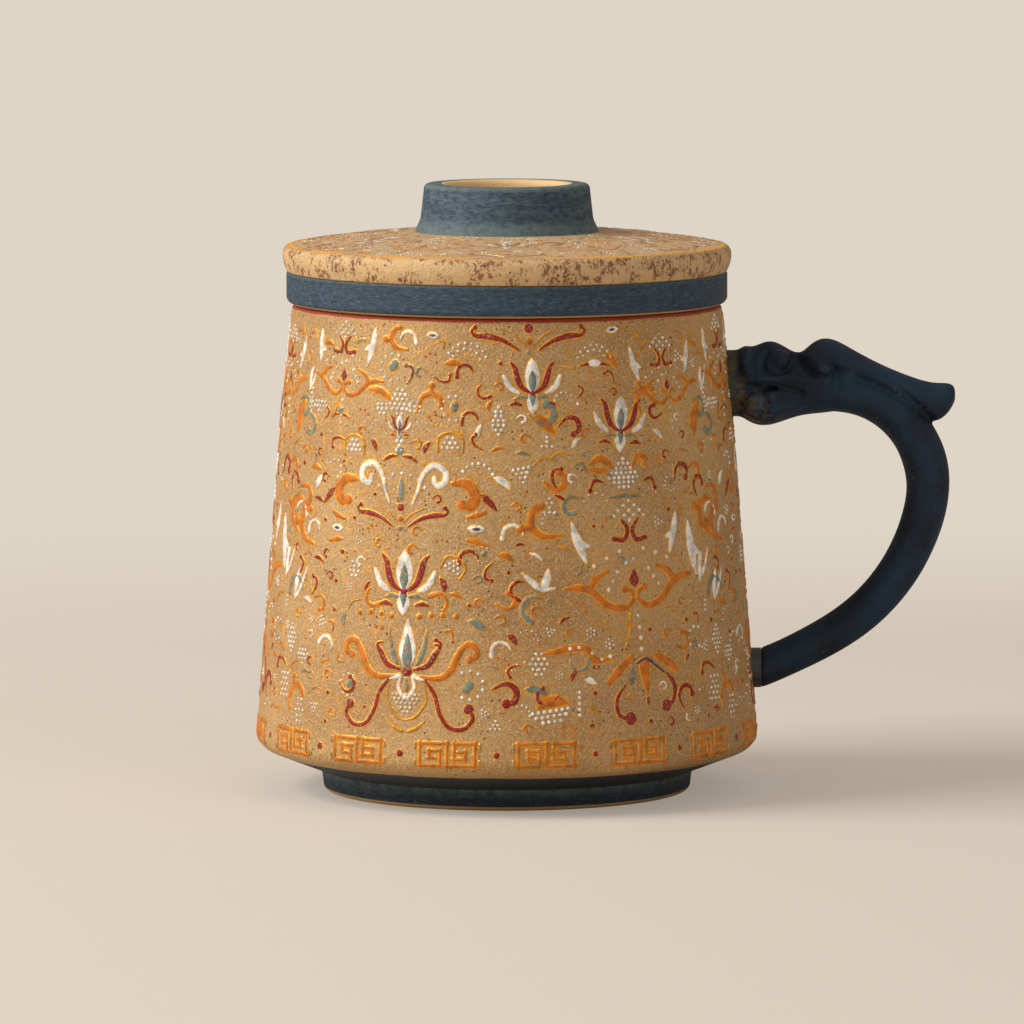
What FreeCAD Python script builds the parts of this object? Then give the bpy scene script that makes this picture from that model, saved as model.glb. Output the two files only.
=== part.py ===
import FreeCAD, Part
import math
import os

from FreeCAD import Vector

# Lidded stoneware tea mug with a hanging infuser cup, as a potter assembles it from its clay members.
# The mug stands on the XY plane, its axis is Z and its handle points along +X. All sizes are millimetres.
# Mug: tapered body, turned foot ring, two handle pads, and a dragon handle of bow, head and crest.
# Infuser: rim that hangs on the mug's lip, cup wall, and pierced floor.
# Lid: domed plate, hollow knob, and skirt that centres it in the infuser.

# Mug body
lip_height = 86.0  # top of the lip above the table
lip_radius = 37.7  # outside radius at the lip
shoulder_height = 69.5  # where the side turns a little steeper
shoulder_radius = 39.5
shoulder_blend = 600.0
base_height = 8.2  # where the side and the underside would meet
base_radius = 44.35
base_blend = 3.0
wall = 3.0
floor_thickness = 4.2
floor_blend = 6.0  # inside corner between wall and floor
lip_outer_round = 1.1
lip_inner_round = 0.6

# Foot ring, under the body
foot_height = 3.8
foot_radius = 32.8  # outside, where it meets the body
foot_width = 4.4
foot_draft = 0.5  # how much the outside draws in towards the table
foot_round = 0.9
underside_step = 0.3  # flat ledge of the body outside the foot

# Infuser
infuser_rim_radius = 38.8
infuser_rim_height = 5.6
infuser_rim_lower_round = 1.3
infuser_rim_upper_round = 0.5
infuser_clearance = 0.6  # between the cup's neck and the mug's mouth
infuser_wall = 2.6
infuser_depth = 46.0  # cup wall, below the mug's lip
infuser_taper = 3.6  # how much narrower the cup's wall is at the bottom
strainer_thickness = 3.0
strainer_round = 1.8
strainer_hole_radius = 1.1
strainer_ring_pitch = 4.6
strainer_margin = 5.0  # from the outermost holes' centres to the disc's edge
holes_per_ring_step = 6
side_hole_radius = 1.1
side_hole_count = 20
side_row_heights = (5.0, 10.0)  # above the cup wall's bottom

# Lid
lid_radius = 39.6  # widest part of the edge
lid_seat_radius = 38.7  # bottom of the edge, over the infuser's rim
lid_belly_height = 2.2  # height of the widest part above the lid's underside
lid_edge_radius = 39.3  # top of the edge
lid_edge_height = 4.6
lid_dome_radius = 27.0
lid_dome_height = 6.2
lid_crown_height = 7.0  # under the knob
lid_belly_blend = 8.0
lid_edge_round = 1.5
lid_dome_blend = 60.0
lid_underside_round = 0.5
lid_hollow_depth = 2.6  # recess of the underside, inside the skirt
skirt_clearance = 0.8
skirt_wall = 3.0
skirt_depth = 7.0
skirt_round = 0.9

# Knob on the lid
knob_height = 8.4  # above the lid's crown
knob_base_radius = 16.2
knob_waist_radius = 15.2
knob_waist_height = 2.2
knob_top_radius = 14.5
knob_bore_radius = 10.4
knob_lip_round = 0.9
knob_flare_blend = 2.5

# Handle, in the XZ plane
lower_pad_height = 21.3  # middle of the lower pad
lower_pad_reach = 1.6  # how far it stands out of the body
lower_pad_half_height = 3.5
lower_pad_half_width = 4.4
upper_pad_height = 71.7
upper_pad_reach = 1.3
upper_pad_half_height = 5.9
upper_pad_half_width = 4.9
pad_root = 8.0  # clay that is trimmed off inside the body's wall
bow_start_angle = 20.2  # the direction in which the line of the bow's arcs starts
bow_arcs = ((80.0, 10.5, 3), (34.0, 47.5, 5), (16.4, 100.0, 7))  # radius, turn, sections
bow_end = (17.5, -1.5)  # where the bow's line ends, from the middle of the head's front
bow_half_heights = (3.2, 3.5, 3.9, 3.5)  # half thickness in the XZ plane, from the lower end to the head
bow_half_widths = (4.1, 4.5, 4.9, 4.9)  # the same across it
bow_lead = 2.0  # clay that is trimmed off inside the lower pad
head_sections = (  # distance from the head's front, underside and top from the pad's middle, half width
    (0.0, -5.6, 5.4, 4.7),
    (2.4, -6.9, 6.5, 5.7),
    (5.3, -7.4, 7.4, 6.3),
    (8.0, -6.7, 6.7, 5.9),
    (10.4, -5.9, 5.5, 5.4),
    (13.1, -5.4, 6.3, 5.7),
    (15.9, -5.1, 6.0, 5.6),
    (18.9, -5.1, 3.6, 5.1),
)
nostril_radius = 2.3
nostril_place = (7.4, 3.4, 4.0)  # along, across and above, from the middle of the head's front
eye_radius = 1.7
eye_place = (15.0, 4.9, 2.3)
mouth_length = 10.4
mouth_gape = 2.6
mouth_depth = 1.8  # how far it cuts into each cheek
mouth_drop = 0.4  # below the pad's middle
crest_sections = (
    (11.6, 2.8, 5.2, 2.4),
    (14.6, 2.2, 7.8, 3.8),
    (19.8, 1.2, 6.3, 4.4),
    (25.7, -1.2, 3.2, 4.4),
    (30.9, -4.6, 1.1, 4.1),
    (35.1, -6.6, 0.1, 3.4),
    (37.6, -4.6, -0.1, 2.4),
    (38.4, -3.0, -1.1, 1.0),
)

oval_points = 12
UP = Vector(0, 0, 1)
ALONG = Vector(1, 0, 0)
ORIGIN = Vector(0, 0, 0)


def rounded_outline(corners):
    """Edges of a closed outline in the XZ plane. Each corner is (x, z, radius of its rounding)."""
    count = len(corners)
    points = [Vector(x, 0, z) for x, z, _ in corners]
    starts, ends, middles = [], [], []
    for i, (_, _, radius) in enumerate(corners):
        here = points[i]
        to_before = points[i - 1] - here
        to_after = points[(i + 1) % count] - here
        half_angle = to_before.getAngle(to_after) / 2
        reach = radius / math.tan(half_angle)
        most = 0.49 * min(to_before.Length, to_after.Length)
        if reach > most:
            radius *= most / reach
            reach = most
        to_before.normalize()
        to_after.normalize()
        starts.append(here + to_before * reach)
        ends.append(here + to_after * reach)
        inward = (to_before + to_after).normalize()
        middles.append(here + inward * (radius / math.sin(half_angle) - radius))
    edges = []
    for i in range(count):
        if starts[i].distanceToPoint(ends[i]) > 1e-6:
            edges.append(Part.Arc(starts[i], middles[i], ends[i]).toShape())
        edges.append(Part.LineSegment(ends[i], starts[(i + 1) % count]).toShape())
    return edges


def turned(corners):
    """A solid of revolution about Z from the corners of half its section."""
    return Part.Face(Part.Wire(rounded_outline(corners))).revolve(ORIGIN, UP, 360)


def wall_radius(height):
    """The body's outside radius at a height, on the straight stretches of its side."""
    if height > shoulder_height:
        share = (height - shoulder_height) / (lip_height - shoulder_height)
        return shoulder_radius + share * (lip_radius - shoulder_radius)
    share = (height - base_height) / (shoulder_height - base_height)
    return base_radius + share * (shoulder_radius - base_radius)


def along(values, share):
    """A value at a share of the way through an evenly spaced list."""
    place = share * (len(values) - 1)
    i = min(int(place), len(values) - 2)
    return values[i] + (place - i) * (values[i + 1] - values[i])


# Heights and radii that follow from the sizes above
floor_height = foot_height + floor_thickness
mouth_radius = lip_radius - wall
neck_radius = mouth_radius - infuser_clearance
infuser_bore = neck_radius - infuser_wall
cup_bottom = lip_height - infuser_depth
cup_bottom_radius = neck_radius - infuser_taper
lid_seat = lip_height + infuser_rim_height
crown = lid_seat + lid_crown_height
skirt_radius = infuser_bore - skirt_clearance
skirt_bore = skirt_radius - skirt_wall
lower_pad_face = wall_radius(lower_pad_height) + lower_pad_reach
head_front = wall_radius(upper_pad_height) + upper_pad_reach


# Mug


def body_outside():
    """The outer surface of the body, from the underside's ledge to the lip."""
    return [
        (foot_radius + underside_step, foot_height, 0),
        (base_radius, base_height, base_blend),
        (shoulder_radius, shoulder_height, shoulder_blend),
        (lip_radius, lip_height, lip_outer_round),
    ]


def mug_body():
    """The tapered cup with its floor."""
    inside = [
        (mouth_radius, lip_height, lip_inner_round),
        (shoulder_radius - wall, shoulder_height, shoulder_blend),
        (wall_radius(floor_height) - wall, floor_height, floor_blend),
        (0, floor_height, 0),
    ]
    return turned([(0, foot_height, 0)] + body_outside() + inside)


def body_block():
    """The body's outside as a full block, to trim what is stuck on to it."""
    return turned([(0, foot_height, 0)] + body_outside() + [(0, lip_height, 0)])


def foot_ring():
    """The turned ring that the mug stands on."""
    bore = foot_radius - foot_width
    return turned(
        [
            (bore, foot_height, 0),
            (bore, 0, foot_round),
            (foot_radius - foot_draft, 0, foot_round),
            (foot_radius, foot_height, 0),
        ]
    )


# Handle


def oval(centre, half_height, half_width, direction):
    """A closed oval across a direction of the XZ plane. Its half width lies along Y."""
    upward = Vector(-direction.z, 0, direction.x)
    points = []
    for i in range(oval_points):
        turn = 2 * math.pi * i / oval_points
        offset = upward * (half_height * math.sin(turn))
        offset.y = half_width * math.cos(turn)
        points.append(centre + offset)
    curve = Part.BSplineCurve()
    curve.interpolate(points, PeriodicFlag=True)
    return Part.Wire(curve.toShape())


def loft(wires):
    """A solid through a row of closed wires."""
    return Part.makeLoft(wires, True, False)


def pad(height, face, half_height, half_width):
    """A short oval pad of clay that stands out of the body's wall."""
    outline = oval(Vector(face - pad_root, 0, height), half_height, half_width, ALONG)
    return Part.Face(outline).extrude(ALONG * pad_root).cut(body_block())


def lower_pad():
    """The pad that the bow's lower end is luted to."""
    return pad(lower_pad_height, lower_pad_face, lower_pad_half_height, lower_pad_half_width)


def upper_pad():
    """The pad that the dragon bites."""
    return pad(upper_pad_height, head_front, upper_pad_half_height, upper_pad_half_width)


def arc_line():
    """Points (x, z) and headings of the line of the bow's arcs, from the origin."""
    x, z = 0.0, 0.0
    heading = math.radians(bow_start_angle)
    line = [(x, z, heading)]
    for radius, turn, sections in bow_arcs:
        step = math.radians(turn) / sections
        chord = 2 * radius * math.sin(step / 2)
        for _ in range(sections):
            x += chord * math.cos(heading + step / 2)
            z += chord * math.sin(heading + step / 2)
            heading += step
            line.append((x, z, heading))
    return line


def bow_stations():
    """Points and angles along the bow's middle line, turned and stretched to reach from pad to head."""
    line = arc_line()
    start = Vector(lower_pad_face, 0, lower_pad_height)
    along_head, above = bow_end
    end = Vector(head_front + along_head, 0, upper_pad_height + above)
    drawn_x, drawn_z, _ = line[-1]
    size = start.distanceToPoint(end) / math.hypot(drawn_x, drawn_z)
    turn = math.atan2(end.z - start.z, end.x - start.x) - math.atan2(drawn_z, drawn_x)
    stations = []
    for x, z, heading in line:
        across = x * math.cos(turn) - z * math.sin(turn)
        up = x * math.sin(turn) + z * math.cos(turn)
        stations.append((start + Vector(across, 0, up) * size, heading + turn))
    return stations


def left_of(x):
    """A block that fills the handle's space on the mug's side of a plane across X."""
    reach = 2 * lid_radius
    return Part.makeBox(reach, reach, 2 * reach, Vector(x - reach, -reach / 2, -reach / 2))


def handle_bow():
    """The bow from the lower pad's face up into the back of the head."""
    stations = bow_stations()
    wires = []
    for i, (point, angle) in enumerate(stations):
        share = i / (len(stations) - 1)
        direction = Vector(math.cos(angle), 0, math.sin(angle))
        if i == 0:
            point = point - direction * bow_lead
        wires.append(oval(point, along(bow_half_heights, share), along(bow_half_widths, share), direction))
    return loft(wires).cut(left_of(lower_pad_face))


def sculpted(sections):
    """A form along X through ovals that are given from the middle of the head's front."""
    wires = []
    for distance, low, high, half_width in sections:
        centre = Vector(head_front + distance, 0, upper_pad_height + (low + high) / 2)
        wires.append(oval(centre, (high - low) / 2, half_width, ALONG))
    return loft(wires)


def mirrored_balls(radius, place):
    """A ball on each side of the head."""
    distance, across, above = place
    balls = []
    for side in (-1, 1):
        centre = Vector(head_front + distance, side * across, upper_pad_height + above)
        balls.append(Part.makeSphere(radius, centre))
    return balls


def mouth_cuts():
    """The wedges of the open mouth, one in each cheek."""
    middle = upper_pad_height - mouth_drop
    corners = [
        Vector(head_front - mouth_gape, 0, middle - mouth_gape / 2),
        Vector(head_front + mouth_length, 0, middle),
        Vector(head_front - mouth_gape, 0, middle + mouth_gape / 2),
    ]
    wedge = Part.Face(Part.makePolygon(corners + corners[:1]))
    widest = max(half_width for _, _, _, half_width in head_sections)
    cuts = []
    for side in (-1, 1):
        start = Vector(0, side * (widest - mouth_depth), 0)
        moved = wedge.translated(start)
        cuts.append(moved.extrude(Vector(0, side * 2 * mouth_depth, 0)))
    return cuts


def dragon_head():
    """The head, with nostril bosses, eyes and an open mouth. It bites the upper pad's face."""
    head = sculpted(head_sections)
    for ball in mirrored_balls(nostril_radius, nostril_place) + mirrored_balls(eye_radius, eye_place):
        head = head.fuse(ball)
    for cut in mouth_cuts():
        head = head.cut(cut)
    return head


def handle():
    """Bow, head and crest, each trimmed where the one before it stands."""
    head = dragon_head()
    bow = handle_bow().cut(head)
    bow = max(bow.Solids, key=lambda solid: solid.Volume)
    crest = sculpted(crest_sections).cut(head).cut(bow)
    crest = max(crest.Solids, key=lambda solid: solid.Volume)
    return {"handle_bow": bow, "dragon_head": head, "handle_crest": crest}


# Infuser


def infuser_rim():
    """The band that hangs on the mug's lip."""
    return turned(
        [
            (infuser_bore, lip_height, 0),
            (infuser_rim_radius, lip_height, infuser_rim_lower_round),
            (infuser_rim_radius, lid_seat, infuser_rim_upper_round),
            (infuser_bore, lid_seat, infuser_rim_upper_round),
        ]
    )


def infuser_cup():
    """The cup's wall, with rows of holes near its bottom."""
    cup = turned(
        [
            (cup_bottom_radius - infuser_wall, cup_bottom, 0),
            (cup_bottom_radius, cup_bottom, 0),
            (neck_radius, lip_height, 0),
            (infuser_bore, lip_height, 0),
        ]
    )
    drills = []
    for row, height in enumerate(side_row_heights):
        for i in range(side_hole_count):
            turn = 2 * math.pi * (i + row / 2) / side_hole_count
            outward = Vector(math.cos(turn), math.sin(turn), 0)
            start = outward * (cup_bottom_radius - 2 * infuser_wall) + UP * (cup_bottom + height)
            drills.append(Part.makeCylinder(side_hole_radius, 4 * infuser_wall, start, outward))
    return cup.cut(Part.makeCompound(drills))


def infuser_strainer():
    """The pierced floor under the cup's wall."""
    bottom = cup_bottom - strainer_thickness
    disc = turned(
        [
            (0, bottom, 0),
            (cup_bottom_radius, bottom, strainer_round),
            (cup_bottom_radius, cup_bottom, 0),
            (0, cup_bottom, 0),
        ]
    )
    rings = int((cup_bottom_radius - strainer_margin) / strainer_ring_pitch)
    start = UP * (bottom - strainer_thickness)
    drills = [Part.makeCylinder(strainer_hole_radius, 3 * strainer_thickness, start)]
    for ring in range(1, rings + 1):
        count = holes_per_ring_step * ring
        for i in range(count):
            turn = 2 * math.pi * i / count
            spot = Vector(math.cos(turn), math.sin(turn), 0) * (ring * strainer_ring_pitch)
            drills.append(Part.makeCylinder(strainer_hole_radius, 3 * strainer_thickness, start + spot))
    return disc.cut(Part.makeCompound(drills))


# Lid


def lid_plate():
    """The lid's domed plate, recessed under its middle."""
    hollow = lid_seat + lid_hollow_depth
    return turned(
        [
            (0, hollow, 0),
            (skirt_bore, hollow, lid_hollow_depth / 2),
            (skirt_bore, lid_seat, 0),
            (lid_seat_radius, lid_seat, lid_underside_round),
            (lid_radius, lid_seat + lid_belly_height, lid_belly_blend),
            (lid_edge_radius, lid_seat + lid_edge_height, lid_edge_round),
            (lid_dome_radius, lid_seat + lid_dome_height, lid_dome_blend),
            (knob_base_radius + lid_edge_round, crown, 0),
            (0, crown, 0),
        ]
    )


def lid_skirt():
    """The ring under the plate that centres the lid in the infuser."""
    bottom = lid_seat - skirt_depth
    return turned(
        [
            (skirt_bore, lid_seat, 0),
            (skirt_bore, bottom, skirt_round),
            (skirt_radius, bottom, skirt_round),
            (skirt_radius, lid_seat, 0),
        ]
    )


def lid_knob():
    """The hollow ring that the lid is lifted by."""
    top = crown + knob_height
    return turned(
        [
            (knob_bore_radius, crown, 0),
            (knob_base_radius, crown, 0),
            (knob_waist_radius, crown + knob_waist_height, knob_flare_blend),
            (knob_top_radius, top, knob_lip_round),
            (knob_bore_radius, top, knob_lip_round),
        ]
    )


def main():
    os.makedirs("parts", exist_ok=True)
    nodes = {
        "mug_body": mug_body(),
        "foot_ring": foot_ring(),
        "handle_lower_pad": lower_pad(),
        "handle_upper_pad": upper_pad(),
        "infuser_rim": infuser_rim(),
        "infuser_cup": infuser_cup(),
        "infuser_strainer": infuser_strainer(),
        "lid_plate": lid_plate(),
        "lid_skirt": lid_skirt(),
        "lid_knob": lid_knob(),
    }
    nodes.update(handle())
    for name, shape in nodes.items():
        box = shape.BoundBox
        corners = [round(v, 1) for v in (box.XMin, box.YMin, box.ZMin, box.XMax, box.YMax, box.ZMax)]
        print(name, "valid" if shape.isValid() else "INVALID", len(shape.Solids), round(shape.Volume, 1), corners)
        shape.exportStep(f"parts/{name}.step")


main()
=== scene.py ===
import math
import random
from dataclasses import dataclass, replace

import bmesh
import bpy
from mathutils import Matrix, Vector
from mathutils.bvhtree import BVHTree
from mathutils.kdtree import KDTree


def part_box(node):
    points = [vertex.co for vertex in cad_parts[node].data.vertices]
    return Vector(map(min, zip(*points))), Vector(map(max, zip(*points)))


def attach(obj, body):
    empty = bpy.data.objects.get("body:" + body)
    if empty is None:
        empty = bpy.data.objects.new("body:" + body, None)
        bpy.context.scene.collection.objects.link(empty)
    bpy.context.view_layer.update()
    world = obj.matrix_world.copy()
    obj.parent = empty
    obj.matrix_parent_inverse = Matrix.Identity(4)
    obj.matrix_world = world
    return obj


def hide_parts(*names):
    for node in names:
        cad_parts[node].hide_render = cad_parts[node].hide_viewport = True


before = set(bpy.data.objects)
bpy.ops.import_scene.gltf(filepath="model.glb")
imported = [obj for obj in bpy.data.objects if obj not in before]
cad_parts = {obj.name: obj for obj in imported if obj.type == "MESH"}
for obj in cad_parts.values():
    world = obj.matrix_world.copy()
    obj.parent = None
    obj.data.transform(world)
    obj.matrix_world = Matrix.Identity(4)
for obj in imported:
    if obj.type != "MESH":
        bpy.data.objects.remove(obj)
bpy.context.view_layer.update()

# The finish of a lidded stoneware tea mug: an ochre ground with raised enamel ornament, slate-blue rim and
# knob, and a navy dragon handle. Sizes are millimetres unless a name says otherwise, angles are degrees.
# On the mug's side, angle 0 faces the camera and angles grow towards the handle, which is at 90.

MM = 0.001
rng = random.Random(7)


def srgb(red, green, blue):
    """A linear colour from 0 to 255 display values."""
    linear = []
    for value in (red, green, blue):
        share = value / 255
        linear.append(share / 12.92 if share <= 0.04045 else ((share + 0.055) / 1.055) ** 2.4)
    return (*linear, 1.0)


OCHRE = srgb(179, 140, 88)
OCHRE_DARK = srgb(158, 119, 71)
OCHRE_PALE = srgb(214, 182, 132)
GRIT = srgb(134, 96, 56)
STRAW = srgb(214, 180, 132)
# Partly the lid's tan glaze, partly painted sheen that pales the lid's top and the enamel on it
LID_TAN_WITH_SHEEN = srgb(206, 178, 144)
GOLD = srgb(216, 142, 40)
EDGE_GOLD = srgb(232, 158, 34)
FLINT_RED = srgb(108, 50, 28)
PIT_BROWN = srgb(74, 40, 26)
LIP_RED = srgb(148, 44, 12)
NAVY = srgb(7, 21, 36)
NAVY_DARK = srgb(5, 10, 18)
SLATE = srgb(30, 46, 62)
SLATE_LIGHT = srgb(52, 72, 88)
SLATE_PALE = srgb(104, 120, 124)
KNOB_DARK = srgb(36, 52, 72)
KNOB_PALE = srgb(78, 98, 110)
WORN = srgb(92, 80, 64)
WORN_GREEN = srgb(98, 114, 108)
# Each enamel's colour, and how well it has lasted, from 0 to 1
ENAMELS = {
    "red": (srgb(140, 12, 22), 0.53),
    "orange": (srgb(206, 112, 6), 0.57),
    "white": (srgb(236, 232, 222), 0.55),
    "teal": (srgb(112, 132, 124), 0.5),
    "purple": (srgb(78, 62, 96), 0.52),
    "gold": (srgb(230, 160, 40), 0.57),
}

side_low, side_high = (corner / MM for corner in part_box("mug_body"))
lid_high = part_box("lid_plate")[1] / MM
knob_low, knob_high = (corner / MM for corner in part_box("lid_knob"))
knob_inside = 11.4  # the radius within which the knob is ochre
rim_low, rim_high = (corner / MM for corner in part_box("infuser_rim"))
glaze_line = side_low.z + 2.9  # where the ochre ground ends on the underside
lip_line = side_high.z - 0.95  # where the lip's red begins


# Materials


class Paint:
    """A node material that is built by short calls. Sizes of patterns are millimetres."""

    def __init__(self, name, **sockets):
        self.material = bpy.data.materials.new(name)
        self.material.use_nodes = True
        self.tree = self.material.node_tree
        self.shader = self.tree.nodes["Principled BSDF"]
        for socket, value in sockets.items():
            self.shader.inputs[socket.replace("_", " ")].default_value = value
        self.place = self.tree.nodes.new("ShaderNodeTexCoord").outputs["Object"]

    def feed(self, socket, value):
        if isinstance(value, bpy.types.NodeSocket):
            self.tree.links.new(value, socket)
        else:
            socket.default_value = value

    def add(self, kind, inputs, **settings):
        node = self.tree.nodes.new(kind)
        for key, value in settings.items():
            setattr(node, key, value)
        for key, value in inputs.items():
            self.feed(node.inputs[key], value)
        return node

    def noise(self, size, detail=2.0, rough=0.5, warp=0.0, stretch=(1, 1, 1)):
        """Noise from 0 to 1 with blobs of about a size. Stretch shortens them along an axis."""
        place = self.add("ShaderNodeMapping", {"Vector": self.place, "Scale": stretch}).outputs[0]
        inputs = {"Vector": place, "Scale": 1 / (size * MM)}
        inputs |= {"Detail": detail, "Roughness": rough, "Distortion": warp}
        return self.add("ShaderNodeTexNoise", inputs).outputs[0]

    def cells(self, size):
        """Distance from the middles of scattered cells, in cells."""
        inputs = {"Vector": self.place, "Scale": 1 / (size * MM)}
        return self.add("ShaderNodeTexVoronoi", inputs).outputs[0]

    def ramp(self, value, low, high):
        """0 below low, 1 above high, or the other way round if low is the larger."""
        inputs = {0: value, 1: low, 2: high}
        return self.add("ShaderNodeMapRange", inputs, interpolation_type="SMOOTHSTEP").outputs[0]

    def math(self, operation, first, second):
        return self.add("ShaderNodeMath", {0: first, 1: second}, operation=operation).outputs[0]

    def times(self, first, second):
        return self.math("MULTIPLY", first, second)

    def mix(self, factor, first, second):
        """The first colour at factor 0, the second at 1."""
        return self.add("ShaderNodeMix", {0: factor, 6: first, 7: second}, data_type="RGBA").outputs[2]

    def vector(self, operation, *values):
        inputs = dict(enumerate(values))
        return self.add("ShaderNodeVectorMath", inputs, operation=operation).outputs

    def height(self):
        """Height above the table in millimetres."""
        return self.math("DIVIDE", self.add("ShaderNodeSeparateXYZ", {0: self.place}).outputs[2], MM)

    def from_axis(self):
        """Distance from the mug's axis in millimetres."""
        flat = self.vector("MULTIPLY", self.place, (1, 1, 0))[0]
        return self.math("DIVIDE", self.vector("LENGTH", flat)["Value"], MM)

    def edges(self):
        """0.5 on flat stretches, more on ridges, less in grooves."""
        return self.add("ShaderNodeNewGeometry", {}).outputs["Pointiness"]

    def finish(self, colour, rough, bumps, metal=None):
        """Wires colour, roughness and a chain of bumps, each (height, depth in millimetres)."""
        self.feed(self.shader.inputs["Base Color"], colour)
        self.feed(self.shader.inputs["Roughness"], rough)
        if metal is not None:
            self.feed(self.shader.inputs["Metallic"], metal)
        normal = None
        for height, depth in bumps:
            inputs = {"Height": height, "Distance": depth * MM, "Strength": 1.0}
            if normal is not None:
                inputs["Normal"] = normal
            normal = self.add("ShaderNodeBump", inputs).outputs[0]
        self.feed(self.shader.inputs["Normal"], normal)
        return self.material


def plate_edge(paint, colour, stains, edge):
    """The lid more muted and paler inside a radius, partly its tan glaze and partly painted sheen from the
    light above, then a worn gilt line, then paler with clumps of stains.
    """
    away = paint.from_axis()
    outer = paint.ramp(away, edge, edge + 0.7)
    colour = paint.mix(paint.times(outer, 0.55), colour, STRAW)
    # Painted sheen: the top inside the edge is mixed half way towards the pale tan, which is partly the
    # glaze's own tone
    paler_with_sheen = paint.mix(0.5, colour, LID_TAN_WITH_SHEEN)
    colour = paint.mix(paint.ramp(away, edge + 0.4, edge - 1.2), colour, paler_with_sheen)
    clumps = paint.times(outer, paint.ramp(paint.noise(3.0, 3), 0.44, 0.52))
    strokes = paint.ramp(paint.noise(0.75, 4, 0.8, 0.6, stretch=(1, 1, 0.6)), 0.49, 0.55)
    stains = paint.math("MAXIMUM", stains, paint.times(clumps, strokes))
    line = paint.times(paint.ramp(away, edge - 0.7, edge - 0.3), paint.ramp(away, edge + 0.45, edge + 0.05))
    line = paint.times(line, paint.ramp(paint.noise(6, 3), 0.38, 0.5))
    return paint.mix(line, colour, EDGE_GOLD), stains


def lip_and_underside(paint, colour, metal):
    """The mug's red lip, and the navy glaze below its ochre."""
    height = paint.math("ADD", paint.height(), paint.times(paint.noise(7, 2), 0.5))
    colour = paint.mix(paint.ramp(height, lip_line + 0.4, lip_line + 0.55), colour, LIP_RED)
    under = paint.ramp(height, glaze_line + 0.5, glaze_line + 0.2)
    navy = paint.mix(paint.ramp(paint.noise(1.1, 4, 0.7), 0.45, 0.75), NAVY, SLATE)
    return paint.mix(under, colour, navy), paint.times(metal, paint.math("SUBTRACT", 1.0, under))


def ochre_ground(name, flint, body=False, edge=None):
    """Sandy ochre glaze with fine bumps, brown pits, a worn gilt film and flint-red stains.

    Stains grow with flint. The mug's body has its lip and underside too, the lid its edge radius.
    """
    paint = Paint(name, Specular_IOR_Level=0.8, Specular_Tint=srgb(255, 246, 226))
    colour = paint.mix(paint.ramp(paint.noise(24, 3), 0.35, 0.68), OCHRE, OCHRE_DARK)
    sand = paint.noise(0.34, 3, 0.7)
    colour = paint.mix(paint.times(paint.ramp(sand, 0.52, 0.66), 0.8), colour, OCHRE_PALE)
    colour = paint.mix(paint.times(paint.ramp(sand, 0.45, 0.33), 0.75), colour, GRIT)
    relief = paint.noise(1.3, 3, 0.6, 0.8)
    film = paint.times(paint.ramp(relief, 0.5, 0.62), paint.ramp(paint.noise(17, 2), 0.4, 0.66))
    colour = paint.mix(paint.times(film, 0.4), colour, GOLD)
    stains = paint.ramp(paint.noise(2.0, 6, 0.7, 1.2), 0.72 - flint, 0.76 - flint)
    if edge is not None:
        colour, stains = plate_edge(paint, colour, stains, edge)
    colour = paint.mix(paint.times(stains, 0.92), colour, FLINT_RED)
    pits = paint.times(paint.ramp(paint.cells(0.95), 0.24, 0.1), paint.ramp(paint.noise(5, 3), 0.5, 0.6))
    colour = paint.mix(pits, colour, PIT_BROWN)
    rough = paint.math("SUBTRACT", paint.ramp(paint.noise(9, 2), -1.4, 1.6), paint.times(film, 0.2))
    bumps = [(relief, 0.24), (sand, 0.14), (paint.math("SUBTRACT", 1.0, pits), 0.12)]
    metal = paint.times(film, 0.3)
    if body:
        colour, metal = lip_and_underside(paint, colour, metal)
    return paint.finish(colour, rough, bumps, metal)


def bite_colour(paint, cloud):
    """Dark glaze run over ochre where the handle meets the mug."""
    colour = paint.mix(paint.ramp(cloud, 0.36, 0.5), srgb(26, 38, 44), srgb(60, 60, 52))
    colour = paint.mix(paint.ramp(cloud, 0.56, 0.68), colour, srgb(112, 72, 46))
    specks = paint.ramp(paint.noise(0.6, 4, 0.7), 0.6, 0.7)
    return paint.mix(paint.times(specks, 0.7), colour, srgb(52, 30, 22))


def bite_glaze():
    """The pad that carries the handle's lower end."""
    paint = Paint("pad_ground", Specular_IOR_Level=0.45)
    cloud = paint.noise(2.2, 5, 0.7, 0.8)
    return paint.finish(bite_colour(paint, cloud), 0.5, [(cloud, 0.2), (paint.noise(0.5, 3), 0.08)])


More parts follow.
